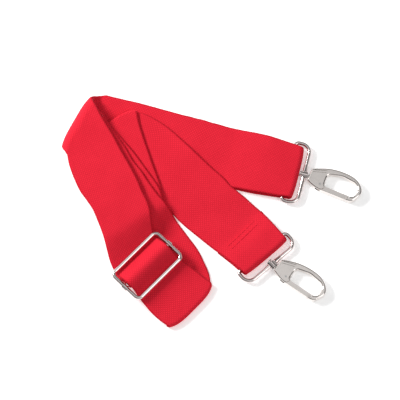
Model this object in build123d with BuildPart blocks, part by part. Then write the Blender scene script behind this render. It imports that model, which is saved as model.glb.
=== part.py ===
"""Shoulder and neck strap with two swivel snap hooks, folded up and lying flat.

One length of woven webbing lies in a zigzag hank on a flat surface. One end is sewn round the bar of a
swivel clasp. The other end is sewn round the centre bar of a wire slider, and the running part passes
through that slider and through the loop of a second clasp.

Units are millimetres, +Z is up, and the origin is at the centre of the footprint, on the surface that
the strap lies on. +X runs towards the hooks. The webbing is one continuous piece on the real strap; here
it is cut at its folds, so that each run and each turn is a simple solid of its own.
"""

import os
from math import asin, cos, degrees, radians, sin

from build123d import *

# ---------------------------------------------------------------- driving dimensions

# Webbing
WEBBING_WIDTH = 38.0
WEBBING_THICKNESS = 1.5
LAYER_GAP = 0.25
LEFT_TURN_WIDTH = 40.0    # across the layers at the left fold, along its crease
TURN_STEPS = 10
DRAWN_IN = 4.4            # how much narrower the webbing is where the slider squeezes it
RING_DRAWN_IN = 2.4       # and where a ring does
ROLL_IN = 4.5             # how much narrower a rolled layer looks from above, inside the bundle
TAB_LENGTH = 19.0         # sewn-back end at hook B
TAIL_END_LENGTH = 13.0    # sewn-back end at the slider

# Metal loops
WIRE_DIAMETER = 2.4
RING_SIDE_CLEARANCE = 0.4
RING_DEPTH = 9.8          # bar centre to far wire centre
RING_BAR_CORNER = 2.5
RING_FAR_CORNER = 5.5
BAR_CLEARANCE = 0.15
LOOP_TO_RIVET = 0.4        # gap between hook A's slack webbing loop and the rivet's head

# Swivel between ring and hook
BOSS_DIAMETER = 5.2
BOSS_OUTER_REACH = 2.2
BOSS_HOLE_DIAMETER = 3.7
SHOULDER_DIAMETER = 3.4
SHOULDER_LENGTH = 4.0
RIVET_DIAMETER = 2.4
RIVET_HEAD_DIAMETER = 4.2
RIVET_HEAD_HEIGHT = 0.8
RIVET_LOOSENESS = 0.6
RIVET_GRIP = 2.4

# Snap hook, measured from the far wire along the swivel axis, spine side up
HOOK_THICKNESS = 5.0
HOOK_BASE = 3.2
HOOK_TIP = 37.0
HOOK_SPINE = 10.4
HOOK_GATE_EDGE = -5.8
EYE_BOTTOM = -2.6
EYE_CORNERS = {            # corners of the eye before rounding, and the radius of each
    (14.0, EYE_BOTTOM): 1.9,
    (13.6, 5.4): 2.8,
    (22.5, 7.7): 9.0,
    (HOOK_TIP - 3.8, 6.4): 4.2,
    (HOOK_TIP - 2.3, EYE_BOTTOM): 3.0,
}
HOOK_EDGE_FILLET = 0.9
PANEL_DEPTH = 0.4
PANEL_MARGIN = 1.3
GROOVE_DEPTH = 0.5
GROOVE_WIDTH = 0.6

# Gate of the snap hook
PIVOT_X = 11.4
PIVOT_Y = -2.4
CHEEK_RADIUS = 3.3
GATE_GAP = 0.3
NOSE_FROM_TIP = 7.7
GATE_NOSE_STEP = 1.6
GATE_STEP_Y = -4.05
GATE_WIDTH = 4.4
TONGUE_RADIUS = 2.2
TONGUE_THICKNESS = 2.2
SLOT_CLEARANCE = 0.2
PIN_DIAMETER = 1.5
PIN_RUNNING_CLEARANCE = 0.05
SPRING_RADIUS = 0.75
SPRING_WIRE = 0.34
SPRING_PITCH = 0.72
SPRING_START = 6.4
SPRING_LENGTH = 2.6
SPRING_OFFSET = 1.3
SPRING_POCKET_CLEARANCE = 0.25

# Slider
SLIDER_LENGTH_BETWEEN_WIRES = 22.6
SLIDER_CORNER = 3.0
SLIDER_SIDE_CLEARANCE = 0.8
SLIDER_BAR_DIAMETER = 3.0
EYELET_LENGTH = 3.4
EYELET_WALL = 0.6
EYELET_CLEARANCE = 0.05
SLIDER_ROCK_CLEARANCE = 1.2

# Stitching
THREAD_DIAMETER = 0.6
STITCH_LENGTH = 2.6
STITCH_SPACING = 3.8
ROW_SPACING = 3.0
SEAM_MARGIN = 4.5

# ---------------------------------------------------------------- values worked out from them

LAYER = WEBBING_THICKNESS + LAYER_GAP
SQUEEZED = WEBBING_WIDTH - DRAWN_IN
RING_SQUEEZED = WEBBING_WIDTH - RING_DRAWN_IN
ROLLED = WEBBING_WIDTH - ROLL_IN
WIRE_RADIUS = WIRE_DIAMETER / 2
RING_WIDTH = RING_SQUEEZED + 2 * RING_SIDE_CLEARANCE + WIRE_DIAMETER
BAR_HEIGHT = WEBBING_THICKNESS + BAR_CLEARANCE + WIRE_RADIUS
LOOP_TOP = BAR_HEIGHT + WIRE_RADIUS + BAR_CLEARANCE
RIVET_HEAD_FACE = RING_DEPTH - WIRE_RADIUS - RIVET_LOOSENESS - RIVET_HEAD_HEIGHT
LOOP_A_REACH = RIVET_HEAD_FACE - (LOOP_TOP + WEBBING_THICKNESS) / 2 - LOOP_TO_RIVET
SLIDER_WIDTH = SQUEEZED + 2 * SLIDER_SIDE_CLEARANCE + WIRE_DIAMETER
SLIDER_BAR_RADIUS = SLIDER_BAR_DIAMETER / 2
UNDER_WIRE = 3 * LAYER + 0.2
GATE_NOSE = HOOK_TIP - NOSE_FROM_TIP
SLIDER_HEIGHT = UNDER_WIRE + WEBBING_THICKNESS + SLIDER_ROCK_CLEARANCE + WIRE_RADIUS
TAIL_LOOP_TOP = SLIDER_HEIGHT + SLIDER_BAR_RADIUS + BAR_CLEARANCE
TAIL_LOOP_BOTTOM = SLIDER_HEIGHT - SLIDER_BAR_RADIUS - BAR_CLEARANCE - WEBBING_THICKNESS
HALF_SLIDER = SLIDER_LENGTH_BETWEEN_WIRES / 2


def level(layers_below):
    """Height of the underside of a layer with so many layers under it."""
    return layers_below * LAYER


# ---------------------------------------------------------------- route of the webbing
# Each station is (x, y) of the webbing's middle and the direction of the line across it, in degrees.

LEFT_BELOW = (-73.4, 56.4, 61.0)
LEFT_ABOVE = (-77.2, 49.4, 61.0)
TURN_INNER = (-76.5, 46.2, 61.0)
TURN_OF_B = (-61.5, 54.5, 36.0)
TURN_HIDDEN = (-41.5, -5.0, 32.0)
TURN_AT_BOTTOM = (-11.9, -61.9, 46.0)

HEADING_A = -14.0
BAR_A = (48.2, 24.2)
RING_A_HEADING = -14.0
HOOK_A_YAW = -9.0

HEADING_B = -45.0
BAR_B = (31.3, -28.0)
RING_B_HEADING = -49.0
HOOK_B_YAW = 14.0
LOOP_B_REACH = 2.3

SLIDER_CENTRE = (-38.1, -38.2)
SLIDER_HEADING = -44.0

FOOTPRINT_CENTRE = (0.93, -1.26)    # middle of the whole strap's outline, in these coordinates


def ahead(point, heading, distance):
    """The point so far along a heading from another point."""
    return (
        point[0] + distance * cos(radians(heading)),
        point[1] + distance * sin(radians(heading)),
    )


def station(place, z, width=WEBBING_WIDTH, rise=0.0):
    """Section of the webbing at a place: the upright plane across it, and its width.

    z is the height of the underside, and rise is how much higher the right-hand edge lies than the left.
    """
    x, y, across = place
    level_line = Vector(cos(radians(across)), sin(radians(across)), 0)
    facing = level_line.cross(Vector(0, 0, 1))
    along_width = level_line.rotate(Axis((0, 0, 0), facing), degrees(asin(rise / width)))
    return Plane(origin=(x, y, z + WEBBING_THICKNESS / 2), x_dir=along_width, z_dir=facing), width


def run_of_webbing(stations):
    """A run of webbing through its stations, ruled from each to the next."""
    with BuildPart() as run:
        for plane, width in stations:
            with BuildSketch(plane):
                Rectangle(width, WEBBING_THICKNESS)
        loft(ruled=True)
    return run.part


def flat_run(stations):
    """A run that lies flat on the surface, straight from the first station to the last."""
    corners = []
    for (plane, width), side in zip(stations + stations[::-1], (-1, -1, 1, 1)):
        corner = plane.from_local_coords(Vector(side * width / 2, 0, 0))
        corners.append((corner.X, corner.Y))
    with BuildPart() as run:
        with BuildSketch():
            Polygon(*corners, align=None)
        extrude(amount=WEBBING_THICKNESS)
    return run.part


def turn_of_webbing(place, low, high, width, outward):
    """Half-round turn that joins the layer at height low to the one at height high.

    outward is the heading that the turn bulges towards.
    """
    x, y, across = place
    along = Vector(cos(radians(across)), sin(radians(across)), 0)
    facing = Vector(cos(radians(outward)), sin(radians(outward)), 0)
    bulge = 1 if Vector(0, 0, 1).cross(along).dot(facing) < 0 else -1
    middle = (low + high + WEBBING_THICKNESS) / 2
    outer = (high + WEBBING_THICKNESS - low) / 2
    side = Align.MAX if bulge > 0 else Align.MIN
    out_dir = along.cross(Vector(0, 0, 1))
    with BuildPart() as turn:
        with BuildSketch(Plane(origin=(x, y, middle), x_dir=out_dir, z_dir=along)):
            Circle(outer)
            Circle(outer - WEBBING_THICKNESS, mode=Mode.SUBTRACT)
            Rectangle(2 * outer, 2 * outer, align=(side, Align.CENTER), mode=Mode.SUBTRACT)
        extrude(amount=width / 2, both=True)
    return turn.part


def drifting_turn(below, above, low, high, width):
    """Half-round turn whose layers leave it at two places along the same crease."""
    across = radians(below[2])
    along = Vector(cos(across), sin(across), 0)
    outward = Vector(-sin(across), cos(across), 0)
    middle = (low + high + WEBBING_THICKNESS) / 2
    radius = (high - low) / 2
    with BuildPart() as turn:
        for step in range(TURN_STEPS + 1):
            share = step / TURN_STEPS
            angle = radians(180 * share - 90)
            radial = outward * cos(angle) + Vector(0, 0, sin(angle))
            foot = Vector(below[0], below[1], middle) * (1 - share) + Vector(above[0], above[1], middle) * share
            with BuildSketch(Plane(origin=foot + radial * radius, x_dir=along, z_dir=along.cross(radial))):
                Rectangle(width, WEBBING_THICKNESS)
        loft(ruled=True)
    return turn.part


def write(part, name):
    """Label a finished piece, centre it on the footprint and write its STEP file."""
    centred = part.moved(Location((-FOOTPRINT_CENTRE[0], -FOOTPRINT_CENTRE[1], 0)))
    centred.label = name
    export_step(centred, f"parts/{name}.step")


os.makedirs("parts", exist_ok=True)

# ---------------------------------------------------------------- webbing, from hook A's loop inwards

ACROSS_A = HEADING_A + 90
LOOP_A_TURN = ahead(BAR_A, RING_A_HEADING, LOOP_A_REACH) + (RING_A_HEADING + 90,)
LOOP_WIDTH = RING_SQUEEZED - 1.6
LOOP_A_MOUTH = ahead(BAR_A, HEADING_A, -8.0) + (ACROSS_A,)
LOOP_A_START = ahead(BAR_A, HEADING_A, -16.0) + (ACROSS_A,)
SECTION_A_MIDDLE = ahead(BAR_A, HEADING_A, -40.0) + (ACROSS_A,)

write(
    flat_run([station(LEFT_BELOW, 0, LEFT_TURN_WIDTH), station(LOOP_A_START, 0)]),
    "webbing_hook_a_lower_run",
)
write(
    run_of_webbing(
        [
            station(LEFT_BELOW, level(1), LEFT_TURN_WIDTH),
            station(SECTION_A_MIDDLE, level(1)),
            station(LOOP_A_START, LOOP_TOP),
        ]
    ),
    "webbing_hook_a_upper_run",
)

with BuildPart() as loop_a:
    for height in (0, LOOP_TOP):
        add(
            run_of_webbing(
                [
                    station(LOOP_A_START, height),
                    station(LOOP_A_MOUTH, height, RING_SQUEEZED),
                    station(LOOP_A_TURN, height, LOOP_WIDTH),
                ]
            )
        )
    add(turn_of_webbing(LOOP_A_TURN, 0, LOOP_TOP, LOOP_WIDTH, RING_A_HEADING))
write(loop_a.part, "webbing_hook_a_loop")

write(
    drifting_turn(LEFT_BELOW, LEFT_ABOVE, 0, level(7), LEFT_TURN_WIDTH),
    "webbing_left_turn_outer",
)
write(
    drifting_turn(LEFT_BELOW, LEFT_ABOVE, level(1), level(6), LEFT_TURN_WIDTH),
    "webbing_left_turn_inner",
)

# ---------------------------------------------------------------- webbing, bundle to the slider


def slider_place(distance):
    """Place on the slider's axis, so far past its centre bar."""
    return ahead(SLIDER_CENTRE, SLIDER_HEADING, distance) + (SLIDER_HEADING + 90,)


RUN_1_MIDDLE = (-55.0, 3.5, 29.0)
RUN_1_LOW = (-49.5, -14.0, 33.0)
BEFORE_WIRE = slider_place(-HALF_SLIDER - 2.4)
BEYOND_WIRE = slider_place(-HALF_SLIDER + 2.4)
BEFORE_FAR_WIRE = slider_place(HALF_SLIDER - 2.4)
BEYOND_FAR_WIRE = slider_place(HALF_SLIDER + 2.4)
CREST_START = slider_place(-2.0)
CREST_END = slider_place(2.0)
CREST = TAIL_LOOP_TOP + LAYER

write(
    run_of_webbing(
        [
            station(LEFT_ABOVE, level(7), LEFT_TURN_WIDTH),
            station(RUN_1_MIDDLE, level(6.9), ROLLED),
            station(RUN_1_LOW, level(6.5), SQUEEZED),
            station(BEFORE_WIRE, UNDER_WIRE, SQUEEZED),
        ]
    ),
    "webbing_top_run",
)
write(
    run_of_webbing(
        [
            station(BEFORE_WIRE, UNDER_WIRE, SQUEEZED),
            station(BEYOND_WIRE, UNDER_WIRE, SQUEEZED),
            station(CREST_START, CREST, SQUEEZED),
            station(CREST_END, CREST, SQUEEZED),
            station(BEFORE_FAR_WIRE, UNDER_WIRE, SQUEEZED),
            station(BEYOND_FAR_WIRE, UNDER_WIRE, WEBBING_WIDTH - 2.0),
        ]
    ),
    "webbing_over_slider_bar",
)
write(
    run_of_webbing(
        [
            station(LEFT_ABOVE, level(6), LEFT_TURN_WIDTH),
            station(RUN_1_MIDDLE, level(5.9), ROLLED),
            station(RUN_1_LOW, level(5.5), SQUEEZED),
            station(BEFORE_WIRE, UNDER_WIRE - LAYER, SQUEEZED),
        ]
    ),
    "webbing_tail_run",
)

with BuildPart() as tail_loop:
    add(
        run_of_webbing(
            [
                station(BEFORE_WIRE, UNDER_WIRE - LAYER, SQUEEZED),
                station(BEYOND_WIRE, UNDER_WIRE - LAYER, SQUEEZED),
                station(CREST_START, TAIL_LOOP_TOP, SQUEEZED),
                station(slider_place(0), TAIL_LOOP_TOP, SQUEEZED),
            ]
        )
    )
    add(
        turn_of_webbing(
            slider_place(0), TAIL_LOOP_BOTTOM, TAIL_LOOP_TOP, SQUEEZED, SLIDER_HEADING
        )
    )
    add(
        run_of_webbing(
            [
                station(slider_place(0), TAIL_LOOP_BOTTOM, SQUEEZED),
                station(BEYOND_WIRE, UNDER_WIRE - 2 * LAYER, SQUEEZED),
                station(slider_place(-TAIL_END_LENGTH), UNDER_WIRE - 2 * LAYER, SQUEEZED),
            ]
        )
    )
write(tail_loop.part, "webbing_slider_loop")

# ---------------------------------------------------------------- webbing, below the slider and back up

BOTTOM_RISE = level(1.5)
LAYER_2_MIDDLE = slider_place(24.0)
RETURN_LOW = (-20.5, -38.5, 39.0)
RETURN_UNDER_SLIDER = (-35.0, -16.2, 36.0)
RETURN_OVER_TURN = (-39.9, -8.5, 34.0)
RETURN_MIDDLE = (-46.5, -1.5, 34.0)
RETURN_HIGH = (-61.0, 20.0, 34.0)
SECOND_LEAVING_B = (-43.0, -0.5, 32.0)
SECOND_LOW = (-46.0, 5.0, 33.0)
SECOND_HIGH = (-57.5, 21.0, 34.0)
THIRD_LEAVING_B = (-42.6, 0.0, 31.0)
THIRD_LOW = (-44.5, 6.0, 31.0)
THIRD_HIGH = (-51.0, 22.0, 30.0)

write(
    run_of_webbing(
        [
            station(BEYOND_FAR_WIRE, UNDER_WIRE, WEBBING_WIDTH - 2.0),
            station(LAYER_2_MIDDLE, level(1.9)),
            station(TURN_AT_BOTTOM, BOTTOM_RISE),
        ]
    ),
    "webbing_lower_run",
)
write(
    turn_of_webbing(TURN_AT_BOTTOM, 0, BOTTOM_RISE, WEBBING_WIDTH, TURN_AT_BOTTOM[2] - 90),
    "webbing_bottom_turn",
)
write(
    run_of_webbing(
        [
            station(TURN_AT_BOTTOM, 0),
            station(RETURN_LOW, 0, WEBBING_WIDTH - 1.0),
            station(RETURN_UNDER_SLIDER, 0.1, ROLLED),
            station(RETURN_OVER_TURN, level(4.15), ROLLED),
            station(RETURN_MIDDLE, level(4.8), ROLLED),
            station(RETURN_HIGH, level(5.02), ROLLED),
            station(TURN_INNER, level(5), ROLLED),
        ]
    ),
    "webbing_return_run",
)
write(
    turn_of_webbing(TURN_INNER, level(4), level(5), ROLLED, TURN_INNER[2] + 90),
    "webbing_inner_turn",
)
write(
    run_of_webbing(
        [
            station(TURN_INNER, level(4), ROLLED),
            station(SECOND_HIGH, level(4.03), ROLLED),
            station(SECOND_LOW, level(3.8), ROLLED),
            station(SECOND_LEAVING_B, level(3.45), ROLLED),
            station(TURN_HIDDEN, level(3.1), ROLLED - 2),
        ]
    ),
    "webbing_second_run",
)
write(
    turn_of_webbing(TURN_HIDDEN, level(2.1), level(3.1), ROLLED - 2, TURN_HIDDEN[2] - 90),
    "webbing_hidden_turn",
)
write(
    run_of_webbing(
        [
            station(TURN_HIDDEN, level(2.1), ROLLED - 2),
            station(THIRD_LEAVING_B, level(2.45), ROLLED),
            station(THIRD_LOW, level(2.8), ROLLED),
            station(THIRD_HIGH, level(3.05), ROLLED),
            station(TURN_OF_B, level(3)),
        ]
    ),
    "webbing_third_run",
)
write(
    turn_of_webbing(TURN_OF_B, level(2), level(3), WEBBING_WIDTH, TURN_OF_B[2] + 90),
    "webbing_hook_b_turn",
)

# ---------------------------------------------------------------- webbing, out to hook B

ACROSS_B = HEADING_B + 90
LOOP_B_TURN = ahead(BAR_B, RING_B_HEADING, LOOP_B_REACH) + (RING_B_HEADING + 90,)
LOOP_B_MOUTH = ahead(BAR_B, HEADING_B, -8.0) + (ACROSS_B,)
B_OVER_A = (-41.0, 41.0, ACROSS_B)
B_LEAVING_A = (-24.0, 24.0, ACROSS_B)
B_OFF_A = (-2.0, 2.0, ACROSS_B)
TAB_END = ahead(BAR_B, HEADING_B, -TAB_LENGTH) + (ACROSS_B,)

write(
    run_of_webbing(
        [
            station(TURN_OF_B, level(2)),
            station(B_OVER_A, level(2)),
            station(B_LEAVING_A, level(2.05), rise=LAYER),
            station(B_OFF_A, level(1.3), rise=1.6 * LAYER),
            station(TAB_END, LAYER),
        ]
    ),
    "webbing_hook_b_run",
)
with BuildPart() as loop_b:
    add(
        run_of_webbing(
            [
                station(TAB_END, LAYER),
                station(LOOP_B_MOUTH, LOOP_TOP, RING_SQUEEZED),
                station(LOOP_B_TURN, LOOP_TOP, LOOP_WIDTH),
            ]
        )
    )
    add(turn_of_webbing(LOOP_B_TURN, 0, LOOP_TOP, LOOP_WIDTH, RING_B_HEADING))
    add(
        run_of_webbing(
            [
                station(LOOP_B_TURN, 0, LOOP_WIDTH),
                station(LOOP_B_MOUTH, 0, RING_SQUEEZED),
                station(TAB_END, 0, WEBBING_WIDTH),
            ]
        )
    )
write(loop_b.part, "webbing_hook_b_loop")

# ---------------------------------------------------------------- stitching


def seam(place, low, high, name):
    """One row of lock stitches across the webbing, from height low to height high."""
    x, y, across = place
    along = (cos(radians(across)), sin(radians(across)), 0)
    upright = Plane(origin=(x, y, 0), x_dir=along, z_dir=Vector(along).cross(Vector(0, 0, 1)))
    count = int((SQUEEZED - 2 * SEAM_MARGIN) / STITCH_SPACING)
    first = -count * STITCH_SPACING / 2
    corners = [(first, low)]
    for stitch in range(count):
        start = first + stitch * STITCH_SPACING
        corners.append((start, high))
        corners.append((start + STITCH_LENGTH, high))
        corners.append((start + STITCH_LENGTH, low))
        corners.append((start + STITCH_SPACING, low))
    with BuildPart() as thread:
        with BuildSketch(upright):
            with BuildLine():
                Polyline(*corners[:-1])
            trace(line_width=THREAD_DIAMETER)
        extrude(amount=THREAD_DIAMETER / 2, both=True)
    write(thread.part, name)


for row, distance in enumerate((TAB_LENGTH - 1.6, TAB_LENGTH - 1.6 - ROW_SPACING)):
    share = (TAB_LENGTH - distance) / (TAB_LENGTH - 8.0)
    seam(
        ahead(BAR_B, HEADING_B, -distance) + (ACROSS_B,),
        THREAD_DIAMETER / 2,
        LAYER + share * (LOOP_TOP - LAYER) + WEBBING_THICKNESS,
        f"hook_b_seam_{row + 1}",
    )
for row, distance in enumerate((TAIL_END_LENGTH - 1.0, TAIL_END_LENGTH - 1.0 - ROW_SPACING)):
    seam(
        slider_place(-distance),
        UNDER_WIRE - 2 * LAYER + THREAD_DIAMETER / 2,
        UNDER_WIRE - LAYER + WEBBING_THICKNESS - THREAD_DIAMETER / 2,
        f"slider_seam_{row + 1}",
    )

# ---------------------------------------------------------------- swivel clasps


def flat_frame(origin, heading, height):
    """Level plane at a point, its x along a heading."""
    return Plane(
        origin=(origin[0], origin[1], height),
        x_dir=(cos(radians(heading)), sin(radians(heading)), 0),
        z_dir=(0, 0, 1),
    )


def across_frame(frame, x, y=0.0):
    """Upright plane across a frame's x axis, facing along it."""
    return Plane(
        origin=frame.from_local_coords(Vector(x, y, 0)), x_dir=frame.y_dir, z_dir=frame.x_dir
    )


def along_frame(frame, x, y):
    """Upright plane across a frame's y axis, facing along it."""
    return Plane(
        origin=frame.from_local_coords(Vector(x, y, 0)), x_dir=-frame.x_dir, z_dir=frame.y_dir
    )


# Both clasps are alike: each piece is made once at home, ring on its bar and hook on the far wire,
# and then placed for clasp a and for clasp b.
HOME = Plane.XY


def wire_ring():
    """Ring bent from round wire, with the swivel's boss in the middle of its far side."""
    half = RING_WIDTH / 2
    near = half - RING_BAR_CORNER
    far = half - RING_FAR_CORNER
    turn_x = RING_DEPTH - RING_FAR_CORNER
    with BuildPart() as ring:
        with BuildLine(HOME) as path:
            Line((0, 0), (0, near))
            CenterArc((RING_BAR_CORNER, near), RING_BAR_CORNER, 180, -90)
            Line((RING_BAR_CORNER, half), (turn_x, half))
            CenterArc((turn_x, far), RING_FAR_CORNER, 90, -90)
            Line((RING_DEPTH, far), (RING_DEPTH, -far))
            CenterArc((turn_x, -far), RING_FAR_CORNER, 0, -90)
            Line((turn_x, -half), (RING_BAR_CORNER, -half))
            CenterArc((RING_BAR_CORNER, -near), RING_BAR_CORNER, 270, -90)
            Line((0, -near), (0, 0))
        with BuildSketch(along_frame(HOME, 0, 0)):
            Circle(WIRE_RADIUS)
        sweep(path=path.wires()[0])
        for side in (-1, 1):
            shoulder = along_frame(HOME, RING_DEPTH, 0)
            with BuildSketch(shoulder):
                Circle(SHOULDER_DIAMETER / 2)
            with BuildSketch(shoulder.offset(side * (BOSS_DIAMETER / 2 + SHOULDER_LENGTH))):
                Circle(WIRE_RADIUS)
            loft()
        with BuildSketch(across_frame(HOME, RING_DEPTH - WIRE_RADIUS)):
            Circle(BOSS_DIAMETER / 2)
        extrude(amount=WIRE_RADIUS + BOSS_OUTER_REACH)
        with BuildSketch(across_frame(HOME, RING_DEPTH - WIRE_RADIUS)):
            Circle(BOSS_DIAMETER / 2)
        extrude(amount=-WIRE_RADIUS, mode=Mode.SUBTRACT)
        with BuildSketch(across_frame(HOME, RING_DEPTH - 2 * WIRE_RADIUS)):
            Circle(BOSS_HOLE_DIAMETER / 2)
        extrude(amount=2 * WIRE_RADIUS + 2 * BOSS_OUTER_REACH, mode=Mode.SUBTRACT)
    return ring.part


def rivet():
    """Rivet of the swivel: its head lies inside the ring, and its shank ends inside the hook."""
    head_start = -WIRE_RADIUS - RIVET_LOOSENESS - RIVET_HEAD_HEIGHT
    with BuildPart() as swivel_rivet:
        with BuildSketch(across_frame(HOME, head_start)):
            Circle(RIVET_HEAD_DIAMETER / 2)
        extrude(amount=RIVET_HEAD_HEIGHT)
        with BuildSketch(across_frame(HOME, head_start)):
            Circle(RIVET_DIAMETER / 2)
        extrude(amount=HOOK_BASE + RIVET_GRIP - head_start)
    return swivel_rivet.part


def hook_blank():
    """The whole hook before the gate is cut out of it: its outline, its eye and its rounded edges."""
    with BuildPart() as blank:
        with BuildSketch(HOME):
            with BuildLine():
                Line((HOOK_BASE, -3.0), (HOOK_BASE, 5.0))
                Spline(
                    (HOOK_BASE, 5.0),
                    (12.5, 9.0),
                    (23.5, HOOK_SPINE),
                    (HOOK_TIP - 4.4, 8.2),
                    (HOOK_TIP, 2.2),
                    (HOOK_TIP - 2.0, -3.2),
                    (HOOK_TIP - 7.5, HOOK_GATE_EDGE),
                    tangents=[(2, 1), (-1, 0)],
                )
                Line((HOOK_TIP - 7.5, HOOK_GATE_EDGE), (13.0, HOOK_GATE_EDGE))
                Spline(
                    (13.0, HOOK_GATE_EDGE), (8.0, -5.0), (HOOK_BASE, -3.0), tangents=[(-1, 0), (-2, 1)]
                )
            make_face()
        extrude(amount=HOOK_THICKNESS / 2, both=True)
        rims = blank.faces().sort_by(Axis.Z)
        fillet(rims[0].edges() + rims[-1].edges(), HOOK_EDGE_FILLET)
        with BuildSketch(HOME) as eye:
            Polygon(*EYE_CORNERS, align=None)
            for corner, radius in EYE_CORNERS.items():
                fillet(eye.vertices().sort_by_distance(Vector(*corner))[0], radius)
        extrude(amount=HOOK_THICKNESS, both=True, mode=Mode.SUBTRACT)
        eye_rims = blank.faces().sort_by(Axis.Z)
        for face in (eye_rims[0], eye_rims[-1]):
            fillet(face.inner_wires()[0].edges(), HOOK_EDGE_FILLET)
    return blank.part


def hook_body():
    """Cast body of the hook: blank less the gate's pocket, the tongue's slot and the bores."""
    pivot = (PIVOT_X, PIVOT_Y)
    below = HOOK_GATE_EDGE - 2.0
    above = EYE_BOTTOM + 2 * GATE_GAP
    step = GATE_STEP_Y - GATE_GAP
    low_end = GATE_NOSE + GATE_GAP
    high_end = low_end + GATE_NOSE_STEP
    slot_depth = TONGUE_THICKNESS + 2 * SLOT_CLEARANCE
    pocket_radius = SPRING_RADIUS + SPRING_WIRE / 2 + SPRING_POCKET_CLEARANCE
    panel_left = HOOK_BASE + PANEL_MARGIN
    with BuildPart() as body:
        add(hook_blank())
        with BuildSketch(HOME):
            with BuildLine():
                Polyline(
                    (PIVOT_X, below),
                    (low_end, below),
                    (low_end, step),
                    (high_end, step),
                    (high_end, above),
                    (PIVOT_X, above),
                    close=True,
                )
            make_face()
            with Locations(pivot):
                Circle(CHEEK_RADIUS, mode=Mode.SUBTRACT)
        extrude(amount=HOOK_THICKNESS, both=True, mode=Mode.SUBTRACT)
        with BuildSketch(HOME):
            with Locations(pivot):
                Circle(CHEEK_RADIUS + GATE_GAP)
        extrude(amount=slot_depth / 2, both=True, mode=Mode.SUBTRACT)
        with BuildSketch(HOME):
            with Locations(pivot):
                Circle(PIN_DIAMETER / 2)
        extrude(amount=HOOK_THICKNESS, both=True, mode=Mode.SUBTRACT)
        with BuildSketch(across_frame(HOME, SPRING_START - SPRING_WIRE, PIVOT_Y + SPRING_OFFSET)):
            Circle(pocket_radius)
        extrude(amount=SPRING_LENGTH, mode=Mode.SUBTRACT)
        with BuildSketch(across_frame(HOME, 0)):
            Circle(RIVET_DIAMETER / 2)
        extrude(amount=HOOK_BASE + RIVET_GRIP, mode=Mode.SUBTRACT)
        for side in (-1, 1):
            with BuildSketch(HOME.offset(side * (HOOK_THICKNESS / 2 - PANEL_DEPTH))):
                with BuildLine():
                    Polyline(
                        (panel_left, -2.0),
                        (panel_left, 3.4),
                        (12.4, 6.0),
                        (11.8, 1.7),
                        (7.4, 1.7),
                        (6.8, -2.0),
                        close=True,
                    )
                make_face()
            extrude(amount=side * HOOK_THICKNESS, mode=Mode.SUBTRACT)
            with BuildSketch(HOME.offset(side * (HOOK_THICKNESS / 2 - GROOVE_DEPTH))):
                with BuildLine():
                    Line((panel_left + 0.6, 4.6), (12.6, 7.2))
                trace(line_width=GROOVE_WIDTH)
            extrude(amount=side * HOOK_THICKNESS, mode=Mode.SUBTRACT)
    return body.part


def hook_gate():
    """Sprung gate: an arm along the open side of the eye, and a tongue on the pivot pin."""
    pivot = (PIVOT_X, PIVOT_Y)
    below = HOOK_GATE_EDGE - 2.0
    with BuildPart() as gate:
        add(hook_blank())
        with BuildSketch(HOME):
            with BuildLine():
                Polyline(
                    (PIVOT_X, below),
                    (GATE_NOSE, below),
                    (GATE_NOSE, GATE_STEP_Y),
                    (GATE_NOSE + GATE_NOSE_STEP, GATE_STEP_Y),
                    (GATE_NOSE + GATE_NOSE_STEP, EYE_BOTTOM),
                    (PIVOT_X, EYE_BOTTOM),
                    close=True,
                )
            make_face()
            with Locations(pivot):
                Circle(CHEEK_RADIUS + GATE_GAP, mode=Mode.SUBTRACT)
        extrude(amount=GATE_WIDTH / 2, both=True, mode=Mode.INTERSECT)
        with BuildSketch(HOME):
            with Locations(pivot):
                Circle(TONGUE_RADIUS)
            with Locations((PIVOT_X, PIVOT_Y - TONGUE_RADIUS)):
                Rectangle(6.0, 2.0, align=(Align.MIN, Align.MIN))
        extrude(amount=TONGUE_THICKNESS / 2, both=True)
        with BuildSketch(HOME):
            with Locations(pivot):
                Circle(PIN_DIAMETER / 2 + PIN_RUNNING_CLEARANCE)
        extrude(amount=GATE_WIDTH, both=True, mode=Mode.SUBTRACT)
    return gate.part


def gate_pin():
    """Pin that the gate turns on, flush with both faces of the hook."""
    with BuildPart() as pin:
        with BuildSketch(HOME):
            with Locations((PIVOT_X, PIVOT_Y)):
                Circle(PIN_DIAMETER / 2)
        extrude(amount=HOOK_THICKNESS / 2, both=True)
    return pin.part


def gate_spring():
    """Compression spring that pushes on the heel of the gate."""
    seat = across_frame(HOME, SPRING_START, PIVOT_Y + SPRING_OFFSET)
    with BuildPart() as spring:
        with BuildLine() as coil:
            Helix(
                pitch=SPRING_PITCH,
                height=SPRING_LENGTH,
                radius=SPRING_RADIUS,
                center=seat.origin,
                direction=seat.z_dir,
            )
        with BuildSketch(Plane(origin=coil.edges()[0] @ 0, z_dir=coil.edges()[0] % 0)):
            Circle(SPRING_WIRE / 2)
        sweep(path=coil.edges()[0], is_frenet=True)
    return spring.part


RING_PIECES = {"ring": wire_ring()}
HOOK_PIECES = {
    "swivel_rivet": rivet(),
    "hook_body": hook_body(),
    "hook_gate": hook_gate(),
    "gate_pin": gate_pin(),
    "gate_spring": gate_spring(),
}

for side, bar, heading, yaw in (
    ("a", BAR_A, RING_A_HEADING, HOOK_A_YAW),
    ("b", BAR_B, RING_B_HEADING, HOOK_B_YAW),
):
    ring_frame = flat_frame(bar, heading, BAR_HEIGHT)
    hook_frame = flat_frame(ahead(bar, heading, RING_DEPTH), heading + yaw, BAR_HEIGHT)
    for pieces, frame in ((RING_PIECES, ring_frame), (HOOK_PIECES, hook_frame)):
        for name, piece in pieces.items():
            write(piece.moved(frame.location), f"{name}_{side}")

# ---------------------------------------------------------------- slider

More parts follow.
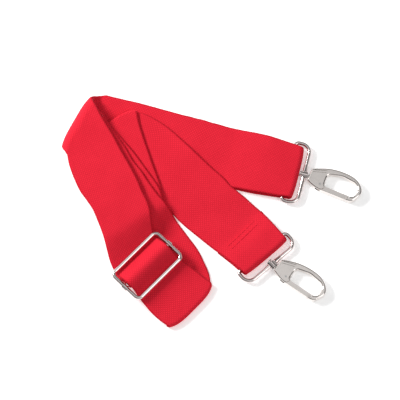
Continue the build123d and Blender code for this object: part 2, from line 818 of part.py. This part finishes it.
slider = flat_frame(SLIDER_CENTRE, SLIDER_HEADING, SLIDER_HEIGHT)
HALF_WIDTH = SLIDER_WIDTH / 2
CORNER_X = HALF_SLIDER - SLIDER_CORNER
CORNER_Y = HALF_WIDTH - SLIDER_CORNER
EYELET_BORE = WIRE_RADIUS + EYELET_CLEARANCE

with BuildPart() as slider_frame:
    with BuildLine(slider) as slider_path:
        Line((HALF_SLIDER, 0), (HALF_SLIDER, CORNER_Y))
        CenterArc((CORNER_X, CORNER_Y), SLIDER_CORNER, 0, 90)
        Line((CORNER_X, HALF_WIDTH), (-CORNER_X, HALF_WIDTH))
        CenterArc((-CORNER_X, CORNER_Y), SLIDER_CORNER, 90, 90)
        Line((-HALF_SLIDER, CORNER_Y), (-HALF_SLIDER, -CORNER_Y))
        CenterArc((-CORNER_X, -CORNER_Y), SLIDER_CORNER, 180, 90)
        Line((-CORNER_X, -HALF_WIDTH), (CORNER_X, -HALF_WIDTH))
        CenterArc((CORNER_X, -CORNER_Y), SLIDER_CORNER, 270, 90)
        Line((HALF_SLIDER, -CORNER_Y), (HALF_SLIDER, 0))
    with BuildSketch(along_frame(slider, HALF_SLIDER, 0)):
        Circle(WIRE_RADIUS)
    sweep(path=slider_path.wires()[0])
write(slider_frame.part, "slider_frame")

with BuildPart() as slider_bar:
    with BuildSketch(along_frame(slider, 0, 0)):
        Circle(SLIDER_BAR_RADIUS)
    extrude(amount=HALF_WIDTH, both=True)
    for side in (-1, 1):
        with BuildSketch(across_frame(slider, -EYELET_LENGTH / 2, side * HALF_WIDTH)):
            Circle(EYELET_BORE + EYELET_WALL)
        extrude(amount=EYELET_LENGTH)
    for side in (-1, 1):
        with BuildSketch(across_frame(slider, -EYELET_LENGTH, side * HALF_WIDTH)):
            Circle(EYELET_BORE)
        extrude(amount=2 * EYELET_LENGTH, mode=Mode.SUBTRACT)
write(slider_bar.part, "slider_bar")
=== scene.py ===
"""Looks of the folded strap: its webbing, its stitches, its plated metal, the light and the camera."""

import math

import bpy
import numpy as np
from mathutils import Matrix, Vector


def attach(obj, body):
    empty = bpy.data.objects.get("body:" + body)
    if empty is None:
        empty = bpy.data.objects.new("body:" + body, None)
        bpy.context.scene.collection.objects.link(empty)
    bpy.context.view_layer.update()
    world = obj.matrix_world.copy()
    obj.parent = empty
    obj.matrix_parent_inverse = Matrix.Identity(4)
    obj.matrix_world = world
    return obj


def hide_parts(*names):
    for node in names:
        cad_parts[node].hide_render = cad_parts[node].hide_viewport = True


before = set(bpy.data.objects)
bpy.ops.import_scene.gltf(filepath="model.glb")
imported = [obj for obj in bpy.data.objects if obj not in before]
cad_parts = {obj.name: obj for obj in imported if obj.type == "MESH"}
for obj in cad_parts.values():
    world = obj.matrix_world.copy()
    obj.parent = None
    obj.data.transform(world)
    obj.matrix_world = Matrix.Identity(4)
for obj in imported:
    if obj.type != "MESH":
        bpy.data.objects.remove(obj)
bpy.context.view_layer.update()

MM = 0.001

# ---------------------------------------------------------------- the camera

VIEW_ELEVATION = math.radians(72.0)
VIEW_DISTANCE = 1.5
VIEW_WIDTH = 0.2454
SENSOR_WIDTH = 36.0
AIM = Vector((-0.0071, 0.0077, 0.0))

camera_data = bpy.data.cameras.new("camera")
camera = bpy.data.objects.new("camera", camera_data)
bpy.context.scene.collection.objects.link(camera)
camera.location = AIM + VIEW_DISTANCE * Vector((0, -math.cos(VIEW_ELEVATION), math.sin(VIEW_ELEVATION)))
camera.rotation_euler = (math.pi / 2 - VIEW_ELEVATION, 0, 0)
camera_data.sensor_width = SENSOR_WIDTH
camera_data.lens = SENSOR_WIDTH * VIEW_DISTANCE / VIEW_WIDTH
camera_data.dof.use_dof = False
bpy.context.scene.camera = camera
bpy.context.scene.view_settings.view_transform = "Standard"

# ---------------------------------------------------------------- the route of the webbing, in millimetres
# A station is (x, y, direction across, height of the underside, width, rise of one edge over the other).

FOOTPRINT_CENTRE = (0.93, -1.26)
WIDTH = 38.0
THICKNESS = 1.5
LAYER = 1.75
DRAWN = 33.6
IN_RING = 35.6
IN_LOOP = 34.0
FOLDED = 40.0
FOLDED_ABOVE = 36.5
ROLLED = 33.5
LOOP_TOP = 4.2
WIRE_RADIUS = 1.2
ROCK_CLEARANCE = 1.2
BAR_RADIUS = 1.5
BAR_CLEARANCE = 0.15
UNDER_WIRE = 3 * LAYER + 0.2
SLIDER_HEIGHT = UNDER_WIRE + THICKNESS + ROCK_CLEARANCE + WIRE_RADIUS
TAIL_TOP = SLIDER_HEIGHT + BAR_RADIUS + BAR_CLEARANCE
TAIL_BOTTOM = SLIDER_HEIGHT - BAR_RADIUS - BAR_CLEARANCE - THICKNESS


def level(layers):
    """Height of the underside of a layer, counted from the lowest one."""
    return layers * LAYER


def ahead(point, heading, distance):
    """The point a distance away along a heading."""
    a = math.radians(heading)
    return (point[0] + distance * math.cos(a), point[1] + distance * math.sin(a))


def station(place, z, width=WIDTH, rise=0.0):
    """A station of a run, at a place (x, y, direction across)."""
    return (place[0], place[1], place[2], z, width, rise)


LEFT_BELOW = (-75.0, 57.2, 61.0)
LEFT_ABOVE = (-80.2, 48.4, 63.0)
INNER = (-76.5, 46.2, 61.0)
TURN_B = (-62.3, 53.5, 36.0)
HIDDEN = (-41.5, -5.0, 32.0)
BOTTOM = (-10.9, -62.4, 46.0)
BAR_A, HEAD_A, RING_A = (48.2, 24.2), -14.0, -14.0
BAR_B, HEAD_B, RING_B = (31.3, -28.0), -45.0, -49.0
SLIDER, SLIDER_HEAD = (-38.1, -38.2), -44.0


def on_slider(distance):
    """A place a distance ahead of the slider's bar."""
    return ahead(SLIDER, SLIDER_HEAD, distance) + (SLIDER_HEAD + 90,)


def on_a(distance):
    """A place a distance ahead of the bar of hook A's ring."""
    return ahead(BAR_A, HEAD_A, distance) + (HEAD_A + 90,)


def on_b(distance):
    """A place a distance ahead of the bar of hook B's ring."""
    return ahead(BAR_B, HEAD_B, distance) + (HEAD_B + 90,)


A_REACH, B_REACH = 3.95, 2.3
A_TURN = ahead(BAR_A, RING_A, A_REACH) + (RING_A + 90,)
B_TURN = ahead(BAR_B, RING_B, B_REACH) + (RING_B + 90,)
CREST = TAIL_TOP + LAYER
BOTTOM_RISE = level(1.5)

# ("run", stations) or ("turn", place it starts at, place it ends at, from height, to height, width,
# outward heading, how far its corners are rounded off).
ROUTE = [
    ("run", [station(on_b(-19), 0), station(on_b(-8), 0, IN_RING), station(B_TURN, 0, IN_LOOP)]),
    ("turn", B_TURN, B_TURN, 0, LOOP_TOP, IN_LOOP, RING_B, 0.8),
    ("run", [
        station(B_TURN, LOOP_TOP, IN_LOOP),
        station(on_b(-8), LOOP_TOP, IN_RING),
        station(on_b(-19), LAYER),
        station((-2, 2, 45), level(1.3), rise=1.6 * LAYER),
        station((-24, 24, 45), level(2.05), rise=LAYER),
        station((-41, 41, 45), level(2)),
        station(TURN_B, level(2)),
    ]),
    ("turn", TURN_B, TURN_B, level(2), level(3), WIDTH, 126, 3.5),
    ("run", [
        station(TURN_B, level(3)),
        station((-51, 22, 30), level(3.05), ROLLED),
        station((-44.5, 6, 31), level(2.8), ROLLED),
        station((-42.6, 0, 31), level(2.45), ROLLED),
        station(HIDDEN, level(2.1), ROLLED - 2),
    ]),
    ("turn", HIDDEN, HIDDEN, level(2.1), level(3.1), ROLLED - 2, -58, 1.5),
    ("run", [
        station(HIDDEN, level(3.1), ROLLED - 2),
        station((-43, -0.5, 32), level(3.45), ROLLED),
        station((-46, 5, 33), level(3.8), ROLLED),
        station((-57.5, 21, 34), level(4.03), ROLLED),
        station(INNER, level(4), ROLLED),
    ]),
    ("turn", INNER, INNER, level(4), level(5), ROLLED, 151, 2.0),
    ("run", [
        station(INNER, level(5), ROLLED),
        station((-61, 20, 34), level(5.02), ROLLED),
        station((-46.5, -1.5, 34), level(4.8), ROLLED),
        station((-39.9, -8.5, 34), level(4.15), ROLLED),
        station((-35.0, -16.2, 36), 0.1, ROLLED),
        station((-20.5, -38.5, 39), 0, WIDTH - 1),
        station(BOTTOM, 0),
    ]),
    ("turn", BOTTOM, BOTTOM, 0, BOTTOM_RISE, WIDTH, -44, 3.4),
    ("run", [
        station(BOTTOM, BOTTOM_RISE),
        station(on_slider(24), level(1.9)),
        station(on_slider(13.7), UNDER_WIRE, WIDTH - 2),
        station(on_slider(8.9), UNDER_WIRE, DRAWN),
        station(on_slider(2), CREST, DRAWN),
        station(on_slider(-2), CREST, DRAWN),
        station(on_slider(-8.9), UNDER_WIRE, DRAWN),
        station(on_slider(-13.7), UNDER_WIRE, DRAWN),
        station((-49.5, -14, 33), level(6.5), DRAWN),
        station((-56, 3, 30), level(6.9), 32),
        station((-66, 20, 36), level(6.95), 34.5),
        station(LEFT_ABOVE, level(7), FOLDED_ABOVE),
    ]),
    ("turn", LEFT_ABOVE, LEFT_BELOW, level(7), 0, FOLDED, 151, 1.8),
    ("run", [
        station(LEFT_BELOW, 0, FOLDED),
        station(on_a(-16), 0),
        station(on_a(-8), 0, IN_RING),
        station(A_TURN, 0, IN_LOOP),
    ]),
    ("turn", A_TURN, A_TURN, 0, LOOP_TOP, IN_LOOP, RING_A, 1.0),
    ("run", [
        station(A_TURN, LOOP_TOP, IN_LOOP),
        station(on_a(-8), LOOP_TOP, IN_RING),
        station(on_a(-16), LOOP_TOP),
        station(on_a(-40), level(1)),
        station(LEFT_BELOW, level(1), FOLDED),
    ]),
    ("turn", LEFT_BELOW, LEFT_ABOVE, level(1), level(6), FOLDED, 151, 1.2),
    ("run", [
        station(LEFT_ABOVE, level(6), FOLDED_ABOVE),
        station((-66, 20, 36), level(5.95), 34.5),
        station((-56, 3, 30), level(5.9), 32),
        station((-49.5, -14, 33), level(5.5), DRAWN),
        station(on_slider(-13.7), UNDER_WIRE - LAYER, DRAWN),
        station(on_slider(-8.9), UNDER_WIRE - LAYER, DRAWN),
        station(on_slider(-2), TAIL_TOP, DRAWN),
        station(on_slider(0), TAIL_TOP, DRAWN),
    ]),
    ("turn", on_slider(0), on_slider(0), TAIL_TOP, TAIL_BOTTOM, DRAWN, SLIDER_HEAD, 0.0),
    ("run", [
        station(on_slider(0), TAIL_BOTTOM, DRAWN),
        station(on_slider(-8.9), UNDER_WIRE - 2 * LAYER, DRAWN),
        station(on_slider(-13.0), UNDER_WIRE - 2 * LAYER, DRAWN),
    ]),
]

# ---------------------------------------------------------------- the webbing as one ribbon

STEP = 0.6
COLUMNS = 34
EDGE_ROUNDING = 0.9
EDGE_BEAD_AT = 1.3
EDGE_BEAD_WIDTH = 0.8
SKEW_WINDOW = 15


def soften(values, spread):
    """Rounds the corners of a run's line without moving its two ends."""
    reach = min(int(3 * spread / STEP), len(values) - 1)
    if reach < 1:
        return values
    before = 2 * values[0] - values[reach:0:-1]
    after = 2 * values[-1] - values[-2:-reach - 2:-1]
    padded = np.concatenate([before, values, after])
    kernel = np.exp(-0.5 * (np.arange(-reach, reach + 1) * STEP / spread) ** 2)
    kernel /= kernel.sum()
    return np.array([
        np.convolve(padded[:, k], kernel, mode="valid") for k in range(values.shape[1])
    ]).T


def run_sections(stations):
    """Sections of a run, one per STEP: x, y, z of the middle, direction across, roll, width."""
    rows = []
    for a, b in zip(stations[:-1], stations[1:]):
        count = max(2, int(math.dist(a[:2] + (a[3],), b[:2] + (b[3],)) / STEP))
        for i in range(count):
            k = i / count
            rows.append([p + (q - p) * k for p, q in zip(a, b)])
    rows.append(list(stations[-1]))
    rows = np.array(rows)
    x, y, across, z, width, rise = rows.T
    roll = np.arcsin(rise / width)
    length = len(rows) * STEP
    flat = soften(np.array([x, y, across, width]).T, min(6.0, length / 8))
    tall = soften(np.array([z + THICKNESS / 2, roll]).T, min(2.2, length / 10))
    return np.column_stack([flat[:, 0], flat[:, 1], tall[:, 0], flat[:, 2], tall[:, 1], flat[:, 3]])


def width_of(place, width):
    """Width of a fold's layer at one of its two places."""
    return FOLDED_ABOVE if place is LEFT_ABOVE else width


def turn_sections(start, end, z1, z2, width, outward, rounding):
    """Sections of a fold's half circle, from the place it starts at to the place it ends at."""
    radius = abs(z2 - z1) / 2
    length = math.hypot(math.pi * radius, math.dist(start[:2], end[:2]))
    count = max(8, int(length / STEP))
    out = math.radians(start[2] + (90 if math.cos(math.radians(outward - start[2] - 90)) > 0 else -90))
    rows = []
    for i in range(1, count):
        k = i / count
        reach = radius * math.sin(math.pi * k)
        x = start[0] + (end[0] - start[0]) * k + reach * math.cos(out)
        y = start[1] + (end[1] - start[1]) * k + reach * math.sin(out)
        z = (z1 + z2) / 2 + (z1 - z2) / 2 * math.cos(math.pi * k) + THICKNESS / 2
        size = width + (width_of(end, width) - width) * k + (width_of(start, width) - width) * (1 - k)
        rows.append([x, y, z, start[2] + (end[2] - start[2]) * k, 0.0, size])
    bow = rounding * np.array([math.cos(out), math.sin(out), 0.0])
    return np.array(rows), bow


pieces, is_turn, folds = [], [], []
first = 0
for leg in ROUTE:
    if leg[0] == "run":
        rows = run_sections(leg[1])
    else:
        rows, bow = turn_sections(*leg[1:])
        folds.append((first, first + len(rows), bow))
    first += len(rows)
    pieces.append(rows)
    is_turn.append(np.full(len(rows), leg[0] == "turn"))
sections = np.concatenate(pieces)
in_turn = np.concatenate(is_turn)

centre = sections[:, :3].copy()
centre[:, 0] -= FOOTPRINT_CENTRE[0]
centre[:, 1] -= FOOTPRINT_CENTRE[1]
across_angle = np.radians(sections[:, 3])
roll = sections[:, 4]
half_width = sections[:, 5] / 2
across = np.array([
    np.cos(across_angle) * np.cos(roll), np.sin(across_angle) * np.cos(roll), np.sin(roll)
]).T
tangent = np.gradient(centre, axis=0)
tangent /= np.linalg.norm(tangent, axis=1)[:, None]
normal = np.cross(across, tangent)
normal /= np.linalg.norm(normal, axis=1)[:, None]
steps = np.linalg.norm(np.diff(centre, axis=0), axis=1)
along = np.concatenate([[0], np.cumsum(steps)])
flat_length = along[-1]

# The corners of a fold are drawn back from its crease, less and less along the layers next to it.
DRAWN_BACK_OVER = 14.0
corner_pull = np.zeros((len(centre), 3))
for low, high, bow in folds:
    away = np.maximum(np.maximum(along[low] - along, along - along[high - 1]), 0)
    corner_pull -= (np.clip(1 - away / DRAWN_BACK_OVER, 0, 1) ** 2)[:, None] * bow

skew = (across * tangent).sum(axis=1)
known = ~in_turn
skew = np.interp(along, along[known], skew[known])
window = np.ones(SKEW_WINDOW) / SKEW_WINDOW
skew = np.convolve(np.pad(skew, SKEW_WINDOW // 2, mode="edge"), window, mode="valid")


def smooth_noise(count, spread, seed):
    """Slow random wave of unit height along the ribbon."""
    noise = np.random.default_rng(seed).normal(size=count + 2)
    positions = np.linspace(0, count + 1, len(along))
    low = np.floor(positions).astype(int).clip(0, count)
    k = positions - low
    k = k * k * (3 - 2 * k)
    return (noise[low] * (1 - k) + noise[low + 1] * k) * spread


right_edge_wave = smooth_noise(int(flat_length / 9), 0.16, 3)
left_edge_wave = smooth_noise(int(flat_length / 11), 0.16, 4)
cup = smooth_noise(int(flat_length / 22), 0.05, 5)
ripple_1 = smooth_noise(int(flat_length / 13), 0.03, 6)
ripple_2 = smooth_noise(int(flat_length / 10), 0.03, 8)

share = np.sin(np.linspace(-math.pi / 2, math.pi / 2, COLUMNS)) * 0.35 + np.linspace(-1, 1, COLUMNS) * 0.65
share /= share[-1]
rows_of_vertices, rows_of_uv = [], []
for i in range(len(centre)):
    half = half_width[i]
    gentle = 0.0 if in_turn[i] else 1.0
    t = share * half
    t = t + np.where(share > 0, right_edge_wave[i], -left_edge_wave[i]) * np.abs(share) ** 3 * gentle
    lift = cup[i] * (share ** 2 - 0.4) + ripple_1[i] * np.sin(share * 4.1) + ripple_2[i] * np.cos(share * 6.3)
    lift = lift * gentle
    from_edge = (1 - np.abs(share)) * WIDTH / 2
    thick = THICKNESS / 2 * 0.94 * np.sqrt(1 - np.clip(1 - from_edge / EDGE_ROUNDING, 0, 0.98) ** 2)
    thick = thick * (1 + 0.05 * np.exp(-((from_edge - EDGE_BEAD_AT) / EDGE_BEAD_WIDTH) ** 2))
    mid = centre[i] + t[:, None] * across[i] + lift[:, None] * normal[i]
    mid = mid + (np.abs(share) ** 4)[:, None] * corner_pull[i]
    top = mid + thick[:, None] * normal[i]
    bottom = mid - thick[:, None] * normal[i]
    rows_of_vertices.append(np.concatenate([top, bottom[::-1]]))
    u = share * WIDTH / 2
    v = along[i] + t * skew[i]
    rows_of_uv.append(np.concatenate([np.column_stack([u, v]), np.column_stack([u, v])[::-1]]))
ring = 2 * COLUMNS
vertices = np.concatenate(rows_of_vertices) * MM
uv = np.concatenate(rows_of_uv) * MM

faces = []
for i in range(len(centre) - 1):
    for j in range(ring):
        a = i * ring + j
        b = i * ring + (j + 1) % ring
        faces.append((a, b, b + ring, a + ring))
for end in (0, (len(centre) - 1) * ring):
    for j in range(COLUMNS - 1):
        quad = (end + j, end + j + 1, end + ring - 2 - j, end + ring - 1 - j)
        faces.append(quad[::-1] if end == 0 else quad)

webbing_mesh = bpy.data.meshes.new("webbing")
webbing_mesh.from_pydata(vertices.tolist(), [], faces)
cloth_map = webbing_mesh.uv_layers.new(name="cloth")
corner_vertex = np.empty(len(webbing_mesh.loops), int)
webbing_mesh.loops.foreach_get("vertex_index", corner_vertex)
cloth_map.data.foreach_set("uv", uv[corner_vertex].astype(np.float32).ravel())
webbing_mesh.update()
webbing_mesh.validate()
webbing = bpy.data.objects.new("webbing", webbing_mesh)
bpy.context.scene.collection.objects.link(webbing)
webbing_mesh.shade_smooth()

# ---------------------------------------------------------------- materials


def new_material(name):
    material = bpy.data.materials.new(name)
    material.use_nodes = True
    nodes = material.node_tree.nodes
    return material, nodes, material.node_tree.links, nodes["Principled BSDF"]


def math_node(nodes, links, operation, *inputs):
    node = nodes.new("ShaderNodeMath")
    node.operation = operation
    for socket, value in zip(node.inputs, inputs):
        if isinstance(value, (int, float)):
            socket.default_value = value
        else:
            links.new(value, socket)
    return node.outputs[0]


def woven_material(name, light, dark, yarn, pick):
    """Webbing: ribs of warp yarns, each dipping under every other pick, staggered from rib to rib, with
    painted shade in the grooves between yarns and along the edges.
    """
    material, nodes, links, shader = new_material(name)
    uv_node = nodes.new("ShaderNodeUVMap")
    uv_node.uv_map = "cloth"
    split = nodes.new("ShaderNodeSeparateXYZ")
    links.new(uv_node.outputs[0], split.inputs[0])
    u, v = split.outputs[0], split.outputs[1]
    rib = math_node(nodes, links, "DIVIDE", u, yarn)
    rib_number = math_node(nodes, links, "FLOOR", rib)
    rib_part = math_node(nodes, links, "FRACT", rib)
    rib_round = math_node(nodes, links, "SINE", math_node(nodes, links, "MULTIPLY", rib_part, math.pi))
    shift = math_node(nodes, links, "MULTIPLY", rib_number, 0.5)
    pick_at = math_node(nodes, links, "ADD", math_node(nodes, links, "DIVIDE", v, pick), shift)
    bead = math_node(nodes, links, "SINE", math_node(nodes, links, "MULTIPLY", pick_at, 2 * math.pi))
    bead = math_node(nodes, links, "MULTIPLY_ADD", bead, 0.5, 0.5)
    height = math_node(nodes, links, "MULTIPLY", math_node(nodes, links, "POWER", rib_round, 0.7),
                       math_node(nodes, links, "MULTIPLY_ADD", bead, 0.75, 0.25))
    fuzz = nodes.new("ShaderNodeTexNoise")
    fuzz.inputs["Scale"].default_value = 2600
    fuzz.inputs["Detail"].default_value = 3
    coordinates = nodes.new("ShaderNodeTexCoord")
    links.new(coordinates.outputs["Object"], fuzz.inputs["Vector"])
    cloud = nodes.new("ShaderNodeTexNoise")
    cloud.inputs["Scale"].default_value = 60
    cloud.inputs["Detail"].default_value = 4
    links.new(coordinates.outputs["Object"], cloud.inputs["Vector"])
    # the colour follows the yarn relief: painted shade in the grooves, lighter on the yarn tops, plus random
    # tone from the two noises
    tone_and_painted_shade = math_node(nodes, links, "MULTIPLY_ADD", height, 0.6,
                     math_node(nodes, links, "MULTIPLY", fuzz.outputs[0], 0.4))
    tone_and_painted_shade = math_node(nodes, links, "MULTIPLY_ADD", cloud.outputs[0], 0.3,
                     math_node(nodes, links, "SUBTRACT", tone_and_painted_shade, 0.15))
    # painted shade along both edges of the webbing, where its rounded sides turn away from the light
    side = math_node(nodes, links, "DIVIDE", math_node(nodes, links, "ABSOLUTE", u), WIDTH / 2 * MM)
    painted_edge_shade = math_node(nodes, links, "MAXIMUM", math_node(nodes, links, "MULTIPLY_ADD", side, 16, -15.1), 0)
    tone_and_painted_shade = math_node(nodes, links, "MULTIPLY_ADD", painted_edge_shade, -0.7, tone_and_painted_shade)
    colour = nodes.new("ShaderNodeMix")
    colour.data_type = "RGBA"
    colour.clamp_factor = True
    colour.inputs["A"].default_value = (*dark, 1)
    colour.inputs["B"].default_value = (*light, 1)
    links.new(tone_and_painted_shade, colour.inputs["Factor"])
    links.new(colour.outputs["Result"], shader.inputs["Base Color"])
    bump = nodes.new("ShaderNodeBump")
    bump.inputs["Strength"].default_value = 0.4
    bump.inputs["Distance"].default_value = 0.0002
    relief = math_node(nodes, links, "MULTIPLY_ADD", fuzz.outputs[0], 0.25, height)
    links.new(relief, bump.inputs["Height"])
    links.new(bump.outputs[0], shader.inputs["Normal"])
    rough = math_node(nodes, links, "MULTIPLY_ADD", height, -0.15, 0.85)
    links.new(rough, shader.inputs["Roughness"])
    shader.inputs["Specular IOR Level"].default_value = 0.08
    shader.inputs["Sheen Weight"].default_value = 0.06
    shader.inputs["Sheen Roughness"].default_value = 0.5
    shader.inputs["Sheen Tint"].default_value = (1.0, 0.2, 0.3, 1)
    return material


def plated_material(name, colour, roughness, wear_scale):
    """Nickel plate: slightly uneven polish, with fine scuffs."""
    material, nodes, links, shader = new_material(name)
    shader.inputs["Metallic"].default_value = 1.0
    coordinates = nodes.new("ShaderNodeTexCoord")
    scuffs = nodes.new("ShaderNodeTexNoise")
    scuffs.inputs["Scale"].default_value = wear_scale
    scuffs.inputs["Detail"].default_value = 6
    links.new(coordinates.outputs["Object"], scuffs.inputs["Vector"])
    waves = nodes.new("ShaderNodeTexNoise")
    waves.inputs["Scale"].default_value = wear_scale / 6
    waves.inputs["Detail"].default_value = 2
    links.new(coordinates.outputs["Object"], waves.inputs["Vector"])
    rough = math_node(nodes, links, "MULTIPLY_ADD", scuffs.outputs[0], 0.14, roughness - 0.07)
    links.new(rough, shader.inputs["Roughness"])
    tint = nodes.new("ShaderNodeMix")
    tint.data_type = "RGBA"
    tint.inputs["A"].default_value = (*[c * 0.86 for c in colour], 1)
    tint.inputs["B"].default_value = (*colour, 1)
    links.new(waves.outputs[0], tint.inputs["Factor"])
    links.new(tint.outputs["Result"], shader.inputs["Base Color"])
    bump = nodes.new("ShaderNodeBump")
    bump.inputs["Strength"].default_value = 0.12
    bump.inputs["Distance"].default_value = 0.00015
    links.new(waves.outputs[0], bump.inputs["Height"])
    links.new(bump.outputs[0], shader.inputs["Normal"])
    return material


red = woven_material("red_webbing", (0.93, 0.028, 0.056), (0.50, 0.006, 0.018), 0.95 * MM, 1.7 * MM)
thread = woven_material("red_thread", (0.90, 0.027, 0.054), (0.80, 0.020, 0.044), 0.3 * MM, 0.4 * MM)
wire_plate = plated_material("wire_nickel", (0.74, 0.66, 0.645), 0.14, 700)
cast_plate = plated_material("cast_nickel", (0.80, 0.75, 0.72), 0.13, 520)
pin_steel = plated_material("pin_steel", (0.66, 0.65, 0.64), 0.3, 900)
spring_steel = plated_material("spring_steel", (0.4, 0.4, 0.41), 0.35, 1200)

webbing_mesh.materials.append(red)
FINISH = {
    "ring": wire_plate,
    "slider": wire_plate,
    "hook": cast_plate,
    "swivel": cast_plate,
    "gate_pin": pin_steel,
    "gate_spring": spring_steel,
}
for name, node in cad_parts.items():
    if name.startswith("webbing"):
        continue
    finish = thread if "seam" in name else next(m for key, m in FINISH.items() if name.startswith(key))
    node.data.materials.clear()
    node.data.materials.append(finish)
    node.data.shade_smooth()
    node.data.set_sharp_from_angle(angle=math.radians(32))

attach(webbing, "strap")
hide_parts(*[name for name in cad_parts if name.startswith("webbing")])

# ---------------------------------------------------------------- floor and light

floor_mesh = bpy.data.meshes.new("floor")
FLOOR_REACH = 4.0
floor_corners = [(FLOOR_REACH * x, FLOOR_REACH * y, 0) for x, y in ((-1, -1), (1, -1), (1, 1), (-1, 1))]
floor_mesh.from_pydata(floor_corners, [], [(0, 1, 2, 3)])
floor = bpy.data.objects.new("floor", floor_mesh)
floor.location.z = -0.0001
bpy.context.scene.collection.objects.link(floor)
floor_material, _, _, floor_shader = new_material("floor")
floor_shader.inputs["Base Color"].default_value = (0.97, 0.97, 0.97, 1)
floor_shader.inputs["Roughness"].default_value = 0.9
floor_shader.inputs["Emission Color"].default_value = (1, 1, 1, 1)
floor_shader.inputs["Emission Strength"].default_value = 0.32
floor_mesh.materials.append(floor_material)


def area_light(name, location, size, power, colour=(1, 1, 1)):
    data = bpy.data.lights.new(name, "AREA")
    data.shape = "RECTANGLE"
    data.size, data.size_y = size
    data.energy = power
    data.color = colour
    light = bpy.data.objects.new(name, data)
    light.location = location
    light.rotation_euler = (Vector((0, 0, 0)) - Vector(location)).to_track_quat("-Z", "Y").to_euler()
    bpy.context.scene.collection.objects.link(light)


area_light("key", (-1.0, 0.5, 0.8), (0.4, 0.4), 19)
area_light("fill", (0.9, -0.5, 1.2), (0.6, 0.9), 3)
world = bpy.data.worlds.new("studio")
bpy.context.scene.world = world
world.use_nodes = True
world_nodes, world_links = world.node_tree.nodes, world.node_tree.links
background = world_nodes["Background"]
background.inputs["Strength"].default_value = 0.62
sky = world_nodes.new("ShaderNodeTexCoord")
sky_split = world_nodes.new("ShaderNodeSeparateXYZ")
world_links.new(sky.outputs["Generated"], sky_split.inputs[0])
bands = world_nodes.new("ShaderNodeValToRGB")
for _ in range(5):
    bands.color_ramp.elements.new(0.5)
# softboxes overhead and dark flags between them, over the sideways part of the direction
for element, (place, grey) in zip(bands.color_ramp.elements, (
    (0.0, 0.02), (0.26, 0.9), (0.36, 0.04), (0.45, 1.7), (0.62, 1.3), (0.70, 0.05), (1.0, 0.9),
)):
    element.position = place
    element.color = (grey, grey, grey, 1)
slope = math_node(world_nodes, world_links, "MULTIPLY_ADD", sky_split.outputs[0], 0.35,
                  math_node(world_nodes, world_links, "MULTIPLY_ADD", sky_split.outputs[1], 0.35, 0.5))
world_links.new(slope, bands.inputs[0])
world_links.new(bands.outputs[0], background.inputs["Color"])
